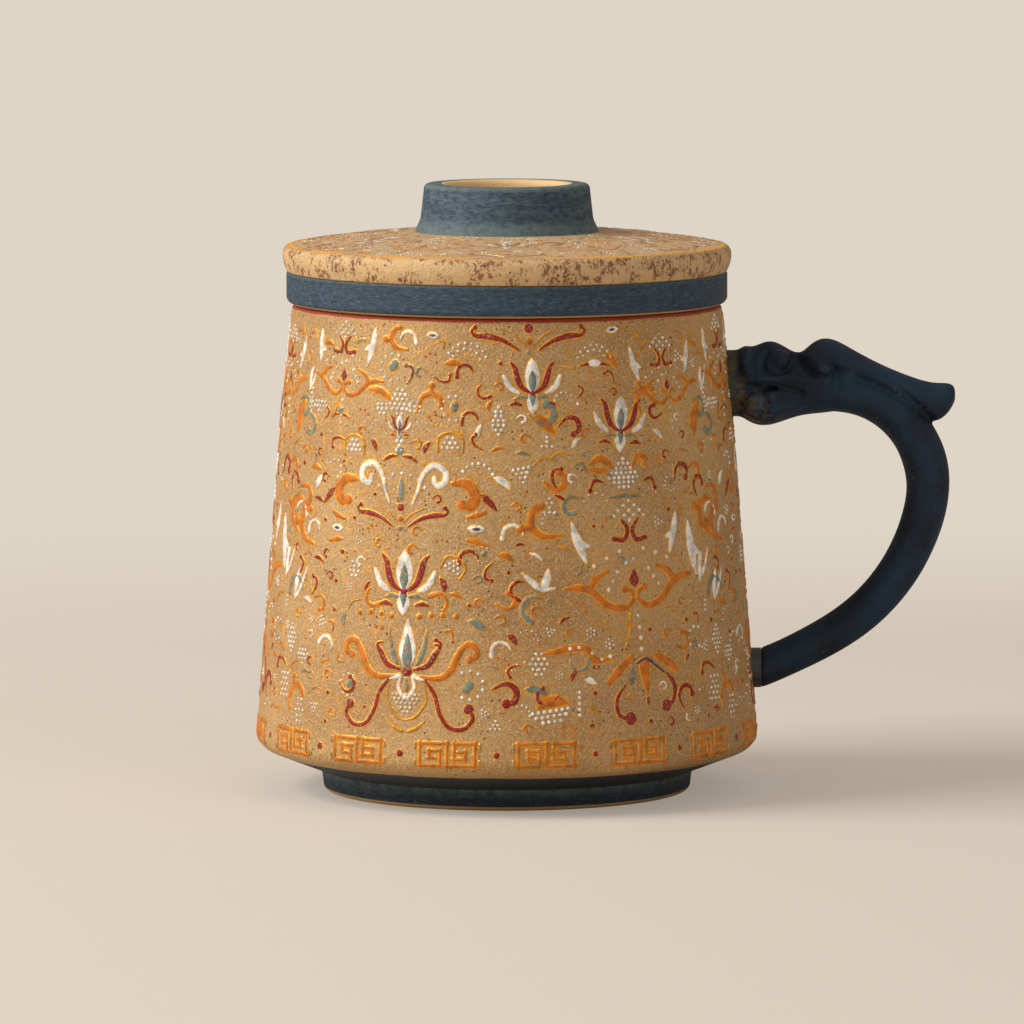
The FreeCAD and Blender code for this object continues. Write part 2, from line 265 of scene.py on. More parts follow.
def blue_glaze(name, base, pale, worn, streaks, bore=None, clay_top=None):
    """Mottled blue glaze, brushed round the pot.

    It thins to grey-green on ridges and outside the two heights worn. Inside the radius bore it is
    ochre, and below the height clay_top bare clay shows.
    """
    paint = Paint(name, Specular_IOR_Level=0.42)
    brushed = paint.noise(5, 4, 0.65, stretch=(0.35, 0.35, streaks))
    mottle = paint.noise(0.9, 5, 0.75, stretch=(0.6, 0.6, 1.7))
    height = paint.height()
    colour = paint.mix(paint.ramp(mottle, 0.36, 0.62), base, pale)
    colour = paint.mix(paint.times(paint.ramp(brushed, 0.58, 0.36), 0.6), colour, base)
    scratch = paint.noise(0.5, 4, 0.75, stretch=(0.4, 0.4, 1.8))
    colour = paint.mix(paint.times(paint.ramp(scratch, 0.56, 0.7), 0.7), colour, SLATE_PALE)
    colour = paint.mix(paint.times(paint.ramp(scratch, 0.42, 0.3), 0.7), colour, NAVY_DARK)
    wear = paint.ramp(paint.edges(), 0.52, 0.6)
    wear = paint.math("MAXIMUM", wear, paint.ramp(height, worn[0] + 0.6, worn[0] - 1.4))
    wear = paint.math("MAXIMUM", wear, paint.ramp(height, worn[1] - 0.4, worn[1] + 0.4))
    wear = paint.times(wear, paint.ramp(paint.noise(1.6, 4, 0.7), 0.2, 0.62))
    colour = paint.mix(paint.times(wear, 0.7), colour, WORN_GREEN)
    if bore is not None:
        inside = paint.ramp(paint.from_axis(), bore + 0.25, bore - 0.05)
        colour = paint.mix(inside, colour, OCHRE_PALE)
    if clay_top is not None:
        bare = paint.ramp(height, clay_top + 0.12, clay_top - 0.12)
        colour = paint.mix(bare, colour, OCHRE)
    rough = paint.ramp(brushed, -1.2, 1.5)
    return paint.finish(colour, rough, [(brushed, 0.16), (mottle, 0.14), (scratch, 0.08)])


def dragon_glaze():
    """Matt navy, darkened in the grooves as painted shade, with a warm bloom on the ridges and rubbed ochre
    about the mouth.
    """
    paint = Paint("navy_glaze", Specular_IOR_Level=0.32)
    cloud = paint.noise(8, 3)
    grain = paint.noise(0.45, 3, 0.7)
    colour = paint.mix(paint.ramp(cloud, 0.35, 0.7), NAVY, srgb(18, 42, 62))
    colour = paint.mix(paint.times(paint.ramp(grain, 0.62, 0.78), 0.55), colour, SLATE_PALE)
    # Painted shade: grooves and hollows are darkened towards the darkest navy
    colour = paint.mix(paint.ramp(paint.edges(), 0.48, 0.4), colour, NAVY_DARK)
    ridges = paint.times(paint.ramp(paint.edges(), 0.53, 0.62), paint.ramp(paint.noise(3, 3), 0.4, 0.65))
    colour = paint.mix(paint.times(ridges, 0.6), colour, WORN)
    mouth = Vector((head_front + 1.6, 0, head_middle - 3.2)) * MM
    near = paint.ramp(paint.vector("DISTANCE", paint.place, mouth)["Value"], 8.5 * MM, 3.5 * MM)
    rubbed = paint.times(near, paint.ramp(paint.noise(2.2, 4, 0.65), 0.47, 0.58))
    colour = paint.mix(paint.times(rubbed, 0.75), colour, srgb(112, 92, 50))
    root = paint.ramp(paint.from_axis(), head_front + 0.9, head_front - 0.5)
    colour = paint.mix(root, colour, bite_colour(paint, paint.noise(2.2, 5, 0.7, 0.8)))
    return paint.finish(colour, paint.ramp(grain, -1.0, 1.4), [(grain, 0.05), (paint.noise(2.5, 2), 0.12)])


def bare_glaze():
    """The plain speckled ochre glaze inside."""
    paint = Paint("liner_glaze", Specular_IOR_Level=0.5, Coat_Weight=0.2, Coat_Roughness=0.15)
    colour = paint.mix(paint.ramp(paint.noise(11, 3), 0.35, 0.7), srgb(206, 172, 118), srgb(186, 146, 94))
    specks = paint.ramp(paint.noise(0.9, 5, 0.7), 0.66, 0.72)
    colour = paint.mix(specks, colour, FLINT_RED)
    return paint.finish(colour, 0.42, [(paint.noise(1.2, 3), 0.07)])


def enamel(name, fade_and_sheen):
    """Thick enamel, mottled and worn through in specks. Its last argument brings it nearer to the lid's
    pale tan, partly as fading and partly as painted sheen.
    """
    gold = name == "gold"
    title = f"faded_sheen_{name}" if fade_and_sheen else f"enamel_{name}"
    paint = Paint(title, Specular_IOR_Level=0.6 if gold else 0.35, Metallic=0.65 if gold else 0.0)
    tint, lasting = ENAMELS[name]
    deep = tuple(0.62 * share for share in tint[:3]) + (1.0,)
    colour = paint.mix(paint.ramp(paint.noise(1.6, 3, 0.6), 0.38, 0.66), tint, deep)
    specks = paint.ramp(paint.noise(0.42, 4, 0.75, 0.4), lasting, lasting + 0.08)
    patchy = paint.ramp(paint.noise(3.2, 2), 0.2, 0.6)
    colour = paint.mix(paint.times(paint.times(specks, patchy), 0.85), colour, OCHRE)
    # Partly fading, partly painted sheen: mixed towards the lid's pale tan
    colour = paint.mix(fade_and_sheen, colour, LID_TAN_WITH_SHEEN)
    return paint.finish(colour, 0.34 if gold else 0.46, [(paint.noise(0.4, 3, 0.7), 0.16)])


# Ornament


def radius_table(node, start, way, steps, low, high):
    """Distances at which rays hit a node's outside, for heights or radii from low to high."""
    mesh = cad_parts[node].data
    tree = BVHTree.FromPolygons([v.co for v in mesh.vertices], [p.vertices for p in mesh.polygons])
    table = []
    for i in range(steps + 1):
        value = low + (high - low) * i / steps
        table.append((value, tree.ray_cast(start(value) * MM, way)[0] / MM))
    return table


def look_up(table, value):
    """A hit point's coordinates, between the table's rows."""
    low, high = table[0][0], table[-1][0]
    place = (min(max(value, low), high) - low) / (high - low) * (len(table) - 1)
    i = min(int(place), len(table) - 2)
    return table[i][1].lerp(table[i + 1][1], place - i)


side_table = radius_table(
    "mug_body", lambda z: Vector((0, -200, z)), Vector((0, 1, 0)), 160, side_low.z + 0.5, side_high.z - 0.4
)
lid_table = radius_table(
    "lid_plate", lambda r: Vector((0, -r, 200)), Vector((0, 0, -1)), 120, knob_high.x, lid_high.x - 0.4
)


def side_radius(height):
    return -look_up(side_table, height).y


lid_lift = 0.6  # the lid's enamel lies flatter
lid_fade_and_sheen = 0.38  # and is nearer to the ground's pale tan, partly by fading and partly as painted sheen


def on_side(angle, height, u, v, lift):
    """A point on the mug's side, u to the right and v up from an angle and a height."""
    radius = side_radius(height + v)
    turn = math.radians(angle) + u / radius
    radius += lift
    return Vector((radius * math.sin(turn), -radius * math.cos(turn), height + v))


def on_lid(angle, ring, u, v, lift):
    """A point on the lid's top, u round it and v inwards from an angle and a radius."""
    turn = math.radians(angle) + u / ring
    radius = ring - v
    top = look_up(lid_table, radius).z + lift * lid_lift
    return Vector((radius * math.sin(turn), -radius * math.cos(turn), top))


class Enamel:
    """Raised enamel of one colour, gathered as one mesh."""

    def __init__(self):
        self.points = []
        self.faces = []

    def strip(self, rows, closed=False):
        """A strip through rows of points across it. Closed rows run all the way round."""
        width = len(rows[0])
        start = len(self.points)
        for row in rows:
            self.points.extend(row)
        for i in range(len(rows) - 1):
            for j in range(width if closed else width - 1):
                a, b = start + i * width + j, start + i * width + (j + 1) % width
                self.faces.append((a, b, b + width, a + width))

    def dome(self, rings, top):
        """A cap through closed rings of points, the lowest first."""
        self.strip(rings, closed=True)
        count = len(rings[0])
        last = len(self.points) - count
        self.points.append(top)
        for j in range(count):
            self.faces.append((last + j, last + (j + 1) % count, last + count))


@dataclass
class Spot:
    """A place for a motif. Its coordinates are millimetres, u to the right and v up."""

    surface: object  # gives the point for an angle, a height, u, v and a lift
    inks: dict
    angle: float
    height: float
    size: float = 1.0
    tilt: float = 0.0
    side: int = 1  # -1 mirrors the motif

    def point(self, u, v, lift):
        u, v = self.side * u * self.size, v * self.size
        tilt = math.radians(self.tilt)
        turned_u = u * math.cos(tilt) - v * math.sin(tilt)
        turned_v = u * math.sin(tilt) + v * math.cos(tilt)
        return self.surface(self.angle, self.height, turned_u, turned_v, lift) * MM


@dataclass
class Mark:
    """A stroke through points with a round end, or without widths a dot at each point."""

    colour: str
    points: tuple
    widths: tuple = ()
    knob: float = 0.0  # radius of the end or the dots
    layer: int = 0  # 1 lies on other enamel, without an outline
    sides: int = 1


def pair(*values, **more):
    """A mark and its mirror image."""
    return Mark(*values, sides=2, **more)


ridge_shape = ((-1.0, 0.0), (-0.74, 0.75), (0.0, 1.0), (0.74, 0.75), (1.0, 0.0))
outline_shape = ((-1.0, 0.0), (-0.7, 1.0), (0.7, 1.0), (1.0, 0.0))
thin_shape = ((-1.0, 0.0), (0.0, 1.0), (1.0, 0.0))
end_cap = ((0.5, 0.87), (0.85, 0.53), (1.0, 0.1))  # beyond a stroke's end in half widths, width left
sunk = -0.05  # how far an enamel's edge lies below the ground
stroke_steps = 5  # points per span of a stroke
enamel_lift = 0.16  # how high a stroke stands
layer_lift = 0.1  # how much higher enamel on enamel lies
outline_width = 0.2  # how far a gilt outline shows round a stroke
outline_lift = 0.07
outlined_radius = 0.4  # larger dots have an outline
dot_rise = 0.05  # how much higher a dot stands than a stroke
dot_shape = ((1.0, 0.0), (0.75, 0.7))  # share of its radius, share of its height
dot_sides = 10


def between(values, share):
    """A value at a share of the way through an evenly spaced list."""
    place = share * (len(values) - 1)
    i = min(int(place), len(values) - 2)
    return values[i] + (place - i) * (values[i + 1] - values[i])


def through(points, per_span=8):
    """A smooth line through points of a plane."""
    padded = [points[0], *points, points[-1]]
    line = []
    for i in range(1, len(padded) - 2):
        p0, p1, p2, p3 = (Vector(p) for p in padded[i - 1 : i + 3])
        for k in range(per_span):
            t = k / per_span
            a = 2 * p1 + (p2 - p0) * t
            b = (2 * p0 - 5 * p1 + 4 * p2 - p3) * t * t
            c = (3 * p1 - p0 - 3 * p2 + p3) * t * t * t
            line.append((a + b + c) / 2)
    line.append(Vector(points[-1]))
    return line


def lay(spot, colour, line, widths, lift, caps=end_cap, profile=ridge_shape):
    """A ridge of enamel along a line, rounded off at both ends."""
    rows = []
    last = len(line) - 1
    for i, here in enumerate(line):
        way = (line[min(i + 1, last)] - line[max(i - 1, 0)]).normalized()
        half = between(widths, i / last) / 2
        before = [(-reach, left) for reach, left in reversed(caps)] if i == 0 else ()
        after = caps if i == last else ()
        for reach, left in (*before, (0.0, 1.0), *after):
            middle = here + way * half * reach
            across = Vector((-way.y, way.x)) * half * left
            top = (lift - sunk) * left
            row = [spot.point(*(middle + share * across), sunk + top * rise) for share, rise in profile]
            rows.append(row)
    spot.inks[colour].strip(rows)


def dot(spot, colour, u, v, radius, lift):
    """A round drop of enamel."""
    rings = []
    for share, rise in dot_shape:
        ring = []
        for i in range(dot_sides):
            turn = 2 * math.pi * i / dot_sides
            around_u, around_v = radius * share * math.cos(turn), radius * share * math.sin(turn)
            ring.append(spot.point(u + around_u, v + around_v, sunk + (lift - sunk) * rise))
        rings.append(ring)
    spot.inks[colour].dome(rings, spot.point(u, v, lift))


def draw(spot, marks):
    """The marks of a motif. Strokes and large dots get a thin gilt outline."""
    for item in marks:
        lift = enamel_lift + item.layer * layer_lift
        outlined = item.colour != "gold" and not item.layer
        ends = item.points[-1:] if item.widths else item.points
        for half in (spot, replace(spot, side=-spot.side))[: item.sides]:
            if item.widths:
                line = through(item.points, stroke_steps)
                lay(half, item.colour, line, item.widths, lift)
                if outlined:
                    widths = [width + 2 * outline_width for width in item.widths]
                    lay(half, "gold", line, widths, outline_lift, end_cap[::2], outline_shape)
            for u, v in ends if item.knob else ():
                radius = item.knob * rng.uniform(0.88, 1.1)
                dot(half, item.colour, u, v, radius, lift + dot_rise)
                if outlined and radius > outlined_radius:
                    dot(half, "gold", u, v, radius + outline_width, outline_lift + 0.02)


def pearl_rows(counts, pitch=0.95, top=0.0):
    """Places of pearls in centred rows, one below the other."""
    places = []
    for k, count in enumerate(counts):
        for i in range(count):
            places.append(((i - (count - 1) / 2) * pitch, top - k * pitch * 0.87))
    return tuple(places)


def pearls(counts, pitch=0.95, top=0.0, radius=0.3):
    return (Mark("white", pearl_rows(counts, pitch, top), knob=radius),)


def pearl_arc(radius, first, last, count, size=0.28):
    """Pearls on an arc between two angles."""
    places = []
    for i in range(count):
        turn = math.radians(first + (last - first) * i / (count - 1))
        places.append((radius * math.cos(turn), radius * math.sin(turn)))
    return (Mark("white", tuple(places), knob=size),)


def comma(colour, fat=1.0):
    """A thick comma whose head curls in."""
    widths = tuple(fat * width for width in (0.25, 0.8, 1.15, 1.1, 0.8))
    return (Mark(colour, ((0, 0), (1.9, 1.3), (3.5, 0.7), (3.7, -0.9), (2.6, -1.6)), widths, 0.72 * fat),)


def hook(colour):
    """A thin stroke that ends in a bulb."""
    points = ((-1.2, -1.7), (0.2, -0.6), (0.7, 0.9), (-0.4, 1.7))
    return (Mark(colour, points, (0.15, 0.55, 0.7, 0.4), 0.5),)


def arch(colour):
    """A small arch, thick at one end."""
    points = ((-1.7, -1.2), (-1.2, 0.5), (0.2, 1.1), (1.5, 0.4), (1.9, -0.7))
    return (Mark(colour, points, (1.0, 0.8, 0.75, 0.7, 0.2)),)


def leaf(colour, fat=1.0):
    return (Mark(colour, ((-1.4, -0.2), (0, 0.1), (1.4, -0.2)), (0.2, 1.2 * fat, 1.0 * fat, 0.15)),)


scrolls = (
    pair(
        "red",
        ((1.8, -4.2), (4.6, -2.5), (7.6, -1.7), (9.6, -1.6), (10.4, -0.8), (9.7, -0.1)),
        (0.25, 1.0, 1.35, 0.85, 0.55, 0.5),
        0.55,
    ),
    Mark("red", ((0, -0.3),), knob=0.95),
    Mark("orange", ((0, -2.6),), knob=0.75),
    Mark("teal", ((0, -4.6),), knob=0.5),
    pair("gold", ((0.7, -3.4), (2.8, -1.4), (5.4, -0.3)), (0.2, 0.4, 0.15)),
)
lotus = (
    Mark("white", ((0, 0.3), (0, 3.2), (0, 6.3)), (0.8, 2.5, 3.4, 3.2, 2.3, 0.3)),
    Mark("teal", ((0, 0.8), (0, 2.6), (0, 4.3)), (0.9, 1.9, 1.5, 0.1), layer=1),
    pair("red", ((0.5, 0.2), (2.0, 1.2), (2.8, 3.0), (3.2, 4.7), (4.0, 5.7)), (0.5, 1.2, 1.35, 1.1, 0.4)),
    pair("white", ((2.6, 0.1), (4.2, 1.2), (5.2, 3.2)), (0.7, 1.2, 1.25, 0.6)),
    Mark("white", ((0, -0.5), (0, -3.5)), (1.9, 2.8, 2.3, 0.6)),
    Mark("teal", ((0, -0.6), (0, -2.4)), (1.6, 0.9, 0.1), layer=1),
    pair("teal", ((0.9, -0.8), (2.2, -0.6), (3.4, -1.0)), (0.4, 0.8, 0.1)),
    pair("red", ((2.1, -2.1), (3.2, -1.8), (4.3, -2.1)), (0.4, 0.95, 0.2)),
    Mark("red", ((0, 0),), knob=0.7, layer=1),
)
great_lotus = (
    Mark("white", ((0, 0.5), (0, 4.6), (0, 8.9)), (0.8, 2.7, 3.8, 3.4, 2.4, 1.2, 0.2)),
    Mark("teal", ((0, 0.9), (0, 3.2), (0, 6.4)), (1.3, 2.5, 1.8, 0.2), layer=1),
    pair("teal", ((1.9, 1.2), (3.0, 3.8), (3.5, 7.2)), (0.5, 1.3, 0.9, 0.1)),
    pair("red", ((1.4, 0.3), (3.8, 1.1), (5.0, 2.9), (5.9, 4.4), (4.9, 4.8)), (0.5, 1.2, 1.2, 0.6, 0.3)),
    pair(
        "orange",
        (
            (2.4, -0.9), (5.8, -1.1), (7.9, 0.3), (9.2, 3.0),
            (10.6, 4.8), (12.2, 4.3), (12.4, 2.8), (11.2, 2.3),
        ),
        (0.5, 1.1, 1.4, 1.3, 1.2, 1.3, 1.2, 0.8),
        0.75,
    ),
    pair(
        "red",
        ((3.4, -1.4), (5.2, -3.8), (6.2, -7.0), (8.0, -9.4), (10.5, -9.6), (12.1, -7.8), (11.3, -6.2)),
        (0.6, 0.9, 0.9, 0.85, 0.9, 0.9, 0.7),
        1.0,
    ),
    pair("white", ((1.4, -0.9), (3.3, -1.4)), (1.0, 0.9, 0.4)),
    pair("white", ((1.1, -1.1), (1.5, -2.7), (0.8, -4.1), (0, -4.5)), (0.5, 0.75, 0.75, 0.75)),
    Mark("teal", ((0, -1.4), (0, -3.4)), (0.8, 1.2, 0.4)),
    pair("gold", ((3.3, -2.4), (3.7, -5.0), (2.0, -7.6), (0, -8.4)), (0.3, 0.5, 0.5, 0.4)),
    pair("gold", ((0.6, -10.3), (2.0, -9.7), (3.6, -8.4)), (0.7, 0.8, 0.2)),
    Mark("white", pearl_rows((7, 6, 5, 3, 2), 0.85, -4.0), knob=0.27, layer=1),
    Mark("red", ((0, 0),), knob=0.95, layer=1),
)
horns = (
    pair(
        "white",
        ((2.2, 0.2), (3.1, 2.3), (4.0, 5.2), (6.0, 6.9), (8.1, 5.8), (7.9, 3.9), (6.5, 3.5), (6.1, 4.7)),
        (0.35, 0.6, 0.9, 1.2, 1.25, 1.3, 1.2, 0.9),
    ),
    Mark("teal", ((0, 0.9), (0, 2.6), (0, 4.7)), (0.5, 1.7, 1.3, 0.2)),
    *pearl_arc(5.4, 35, 145, 7, 0.3),
    pair(
        "orange",
        ((9.3, 3.9), (11.8, 3.9), (13.4, 2.0), (12.7, 0.2), (11.2, 0.3)),
        (0.7, 2.0, 2.4, 2.2, 1.5),
        1.1,
    ),
    pair("red", ((14.6, 2.0), (15.8, 0.9), (17.2, -0.6)), (0.6, 1.5, 1.2, 0.2)),
)
basin = (
    pair(
        "orange",
        ((0.4, -0.4), (2.2, -1.8), (5.2, -1.2), (7.8, 1.1), (9.0, 2.1)),
        (0.5, 1.2, 1.4, 1.4, 1.5),
    ),
    pair("orange", ((8.6, 1.8), (10.8, 2.4), (13.2, 2.4)), (1.4, 1.3, 0.3)),
    pair("orange", ((8.6, 2.0), (7.3, 3.7), (5.0, 4.8)), (1.3, 1.2, 0.4)),
    pair("orange", ((0.5, -0.8), (0.7, 0.8), (2.0, 1.4)), (0.5, 0.8, 0.6), 0.75),
    Mark("red", ((0, 1.7), (0, 4.7)), (0.4, 2.8, 1.5, 0.2)),
    pair("white", ((7.5, 5.9), (5.0, 7.0), (2.4, 8.0), (3.2, 4.5), (4.2, 3.0), (5.1, 1.6)), knob=0.42),
    Mark(
        "white",
        ((0.2, 6.4), (-1.4, 5.9), (0.2, -3.4), (0.3, -5.4), (0.4, -7.2), (0.3, -9.2)),
        knob=0.42,
    ),
    Mark("gold", ((-1.4, -2.7), (-1.7, -5.6), (-3.0, -8.6)), (0.8, 0.7, 0.2)),
)
figure = (
    pair("red", ((1.7, 1.9), (0.5, 0.2), (1.2, -1.6), (3.1, -1.4)), (0.4, 1.0, 1.1, 0.9), 0.62),
    pair("white", ((3.0, 2.5), (2.1, 3.4), (1.1, 4.3), (0.95, 2.6)), knob=0.36),
    Mark("white", ((0, 5.1), (0, 3.4), (0, 1.7)), knob=0.36),
)
kite = (
    Mark("white", ((-0.7, 3.8), (-0.3, 0.4), (0.6, -3.8)), (0.2, 1.4, 2.0, 1.6, 0.2)),
    Mark("white", ((0.0, -0.2), (1.6, -0.9)), (2.2, 1.4, 0.4)),
)
moth = (
    Mark("white", ((0, -1.2), (-1.4, 0.2), (-3.0, 2.0)), (0.5, 1.3, 1.1, 0.2)),
    Mark("white", ((0.2, -1.3), (1.0, 0.3), (1.6, 2.2)), (0.6, 1.8, 1.6, 0.3)),
    Mark("white", ((0.3, -1.2), (2.5, -1.0)), (0.9, 0.6, 0.2)),
)
wings = (
    Mark("white", ((-0.8, -2.7), (-0.8, 0.2), (-0.3, 2.3)), (0.2, 1.3, 1.5, 0.5)),
    Mark("white", ((-0.7, -2.5), (0.9, 0.2), (1.8, 3.0)), (0.2, 0.9, 0.7, 0.1)),
)
eye = (
    Mark("white", ((-1.4, 0), (0, 0), (1.4, 0)), (0.3, 1.5, 1.6, 1.5, 0.3)),
    Mark("purple", ((-0.7, 0), (0.7, 0)), (0.1, 0.9, 0.1), layer=1),
    Mark("orange", ((-1.6, 2.0), (0, 2.3), (1.5, 2.9)), (0.4, 1.1, 0.7)),
    Mark("orange", ((-1.5, -2.0), (0, -2.2), (2.0, -2.8)), (0.5, 1.2, 0.3)),
)
bouquet = (
    *pearls((1, 3, 4, 6, 7, 5, 3), 0.95, 3.4, 0.36),
    Mark("teal", ((-3.6, -3.5), (0, -3.1), (3.6, -3.5)), (0.2, 1.1, 0.2)),
    Mark("orange", ((1.6, 1.4), (2.9, 3.6), (4.4, 3.4), (4.4, 2.2)), (0.3, 1.2, 1.2, 0.8), 0.65),
    Mark("orange", ((-2.2, 1.9), (-4.4, 3.6), (-6.6, 2.6)), (0.3, 1.6, 1.3, 0.3)),
    Mark("orange", ((-4.0, 1.4), (-6.4, 1.7)), (1.2, 1.3, 0.7)),
    pair("red", ((4.2, -0.6), (5.8, -0.3), (6.6, -2.0)), (0.3, 0.8, 0.4), 0.5),
    Mark("teal", ((-7.2, 1.4), (-8.2, 2.9), (-9.6, 2.2)), (0.3, 0.8, 0.5)),
)
fan = (
    Mark("orange", ((-2.4, 4.4), (-4.6, 2.4), (-7.2, -0.2)), (0.3, 1.6, 1.8, 1.1)),
    Mark("orange", ((1.8, 4.2), (4.4, 3.0), (6.8, 1.4)), (0.4, 1.7, 1.7, 1.2)),
    Mark("orange", ((-0.2, 2.8), (0, 0.6), (0.3, -2.4)), (2.4, 2.5, 1.6, 0.3)),
    Mark("teal", ((-2.6, 1.9), (-2.9, -0.3)), (0.6, 1.8, 1.2)),
    Mark("purple", ((-1.7, 2.8), (0.3, 3.5), (2.6, 2.0), (4.0, 1.0)), (0.4, 0.8, 0.7, 0.5)),
    Mark("red", ((4.6, 0.7), (6.3, -1.4), (5.9, -3.9), (4.3, -4.8)), (0.6, 1.2, 0.9, 0.8), 1.25),
    Mark("red", ((-4.2, -0.8), (-5.9, -3.2), (-5.6, -5.9), (-3.4, -6.6)), (0.4, 0.8, 0.9, 0.9), 1.25),
    Mark("red", ((0.3, -3.3), (0.3, -4.5)), (0.6, 0.8, 0.2)),
)
pearl_arm = (
    Mark(
        "orange",
        ((-6.4, -0.6), (-1.8, 0.6), (1.4, 0.8), (3.6, -1.2), (6.6, -0.5)),
        (0.4, 1.5, 1.4, 1.3, 0.5),
    ),
    Mark("white", ((-1.4, 0.7), (0.2, 1.0), (2.6, 0.1), (4.4, -0.9), (6.0, -0.4)), knob=0.38, layer=1),
)
crescents = (
    pair("red", ((0.6, 0.4), (2.0, 0.2), (3.2, -0.5)), (0.3, 0.8, 0.3)),
    Mark("teal", ((0, 1.2),), knob=0.85),
)
sprig = (
    Mark(
        "orange",
        ((-1.5, -3.0), (-1.2, -0.8), (0.2, 0.3), (1.8, -0.2), (2.2, -1.3)),
        (0.25, 0.8, 1.0, 0.9, 0.8),
    ),
    Mark("orange", ((0.1, 0.4), (0.1, 1.5)), (0.8, 0.7, 0.7), 0.62),
)
bead_flower = (
    Mark("white", ((-1.2, 0.1), (1.2, 0.1)), (0.4, 1.4, 1.7, 1.4, 0.4)),
    pair("red", ((1.2, 0), (3.0, -0.4)), (0.7, 0.6, 0.1)),
    *pearl_arc(3.4, 20, 160, 8, 0.26),
    *pearl_arc(2.5, 35, 145, 5, 0.24),
)
framed_pearls = (
    Mark("gold", ((-2.2, -1.6), (-2.1, 0.9), (0, 1.8), (2.1, 0.9), (2.2, -1.6)), (0.5, 0.5, 0.5)),
    *pearls((2, 3, 4), 0.95, 0.8, 0.32),
)
dot_row = (pair("orange", ((2.6, 0), (4.7, 0.3), (6.9, 0.4), (9.2, 0.2)), knob=0.5),)
bud = (
    Mark("teal", ((0, 0), (0.4, 0.5)), knob=0.7),
    *pearl_arc(1.9, 60, 300, 8, 0.25),
)


def fret(spot):
    """Two square spirals in one line, the same after half a turn."""
    half_path = (
        (0, 0), (0, 1.95), (-4.9, 1.95), (-4.9, -1.95), (-1.25, -1.95),
        (-1.25, 0.7), (-3.2, 0.7), (-3.2, -0.55), (-2.2, -0.55),
    )
    width = 0.6
    lead = width / 2.2
    for sign in (1, -1):
        for (u0, v0), (u1, v1) in zip(half_path, half_path[1:]):
            start, end = Vector((u0, v0)) * sign, Vector((u1, v1)) * sign
            way = (end - start).normalized() * lead
            draw(spot, (Mark("orange", (start - way, end + way), (0.4, width, width, width, width, 0.4)),))
        for row in (1.45, -1.45):
            ends = ((sign * 5.75, row - 0.5), (sign * 5.75, row + 0.5))
            draw(spot, (Mark("teal", ends, (0.2, 0.45, 0.2)),))


def small_fill(spot):
    """One of the small things that fill the ground between the motifs."""
    kind = rng.randrange(10)
    colour = rng.choice(("red", "orange", "orange", "teal", "gold", "white"))
    if kind <= 2:
        draw(replace(spot, size=spot.size * 0.5, tilt=0), comma(colour))
    elif kind == 3:
        draw(spot, pearls(rng.choice(((2, 3, 2), (3, 2, 1), (1, 2, 3))), 0.8, 0.5, 0.24))
    elif kind == 4:
        draw(spot, pearl_arc(rng.uniform(1.4, 2.6), 20, 150, 5, 0.22))
    elif kind == 5:
        draw(spot, leaf(colour, 0.8))
    elif kind == 6:
        draw(spot, (Mark("gold", ((-2.2, -0.6), (0, 0.5), (2.2, -0.3)), (0.2, 0.45, 0.2)),))
    elif kind == 7:
        draw(spot, (Mark("red", ((0, 0),), knob=0.5),))
    elif kind == 8:
        draw(spot, (Mark("orange", ((-1.2, 0), (0, 0.4), (1.2, 0)), knob=0.33),))
    else:
        draw(replace(spot, size=spot.size * 0.6, tilt=40), hook(colour))


border_height = 11.2  # the fret's middle
border_top = 14.6  # where the ground above it begins
border_count = 16
border_start = 9

